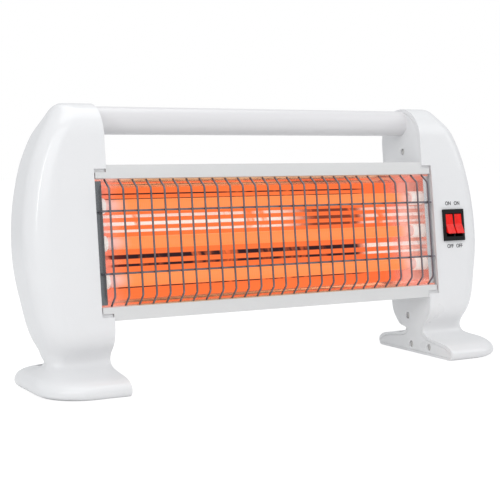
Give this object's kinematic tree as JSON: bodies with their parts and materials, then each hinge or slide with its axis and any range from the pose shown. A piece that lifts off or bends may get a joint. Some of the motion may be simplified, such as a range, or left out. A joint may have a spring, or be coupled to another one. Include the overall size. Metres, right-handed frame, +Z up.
{
  "type": "quartz heater",
  "caption": "Portable quartz heater: bulged white end towers on flared feet, tube handle, polished reflector with glowing quartz bars behind a bent wire guard, twin red rocker switch.",
  "frame": {"origin": "on the floor, midway between the towers and midway along the feet", "axes": "+X along the heater towards the tower with the switch, +Y to the back, +Z up"},
  "size_m": [0.48, 0.121, 0.2449],
  "materials": {
    "white_plastic": "glossy moulded white",
    "handle_white": "glossy white tube",
    "white_steel": "white enamelled sheet",
    "polished_reflector": "polished sheet",
    "guard_steel": "bright plated wire",
    "quartz": "clear fused quartz",
    "glowing_coil": "glowing resistance wire",
    "ceramic": "matt white ceramic",
    "pin_steel": "plain steel",
    "black_plastic": "black moulding",
    "red_plastic": "translucent red",
    "terminal_brass": "plain"
  },
  "bodies": {
    "heater": {"left_end_shell": "white_plastic", "right_end_shell": "white_plastic", "left_inner_cover": "white_plastic", "right_inner_cover": "white_plastic", "handle_tube": "handle_white", "housing_panel": "white_steel", "reflector": "polished_reflector", "left_end_cheek": "polished_reflector", "right_end_cheek": "polished_reflector", "wire_guard": "guard_steel", "quartz_tube_upper": "quartz", "quartz_tube_middle": "quartz", "quartz_tube_lower": "quartz", "heating_coil_upper": "glowing_coil", "heating_coil_middle": "glowing_coil", "heating_coil_lower": "glowing_coil", "left_ceramic_caps": "ceramic", "right_ceramic_caps": "ceramic", "left_element_pins": "pin_steel", "right_element_pins": "pin_steel", "cover_screws": "pin_steel", "switch_body": "black_plastic", "tip_over_switch": "black_plastic", "cord_inlet_bush": "black_plastic", "terminal_block": "black_plastic", "switch_terminals": "terminal_brass"},
    "rocker_inner": {"rocker_inner": "red_plastic"},
    "rocker_outer": {"rocker_outer": "red_plastic"}
  },
  "joints": [
    {"name": "rocker_inner_pivot", "type": "hinge", "parent": "heater", "child": "rocker_inner", "pos_m": [0.1966, -0.01479, 0.12867], "axis": [1, 0, 0], "range_deg": [0, 24]},
    {"name": "rocker_outer_pivot", "type": "hinge", "parent": "heater", "child": "rocker_outer", "pos_m": [0.2074, -0.01479, 0.12867], "axis": [1, 0, 0], "range_deg": [0, 24]}
  ]
}
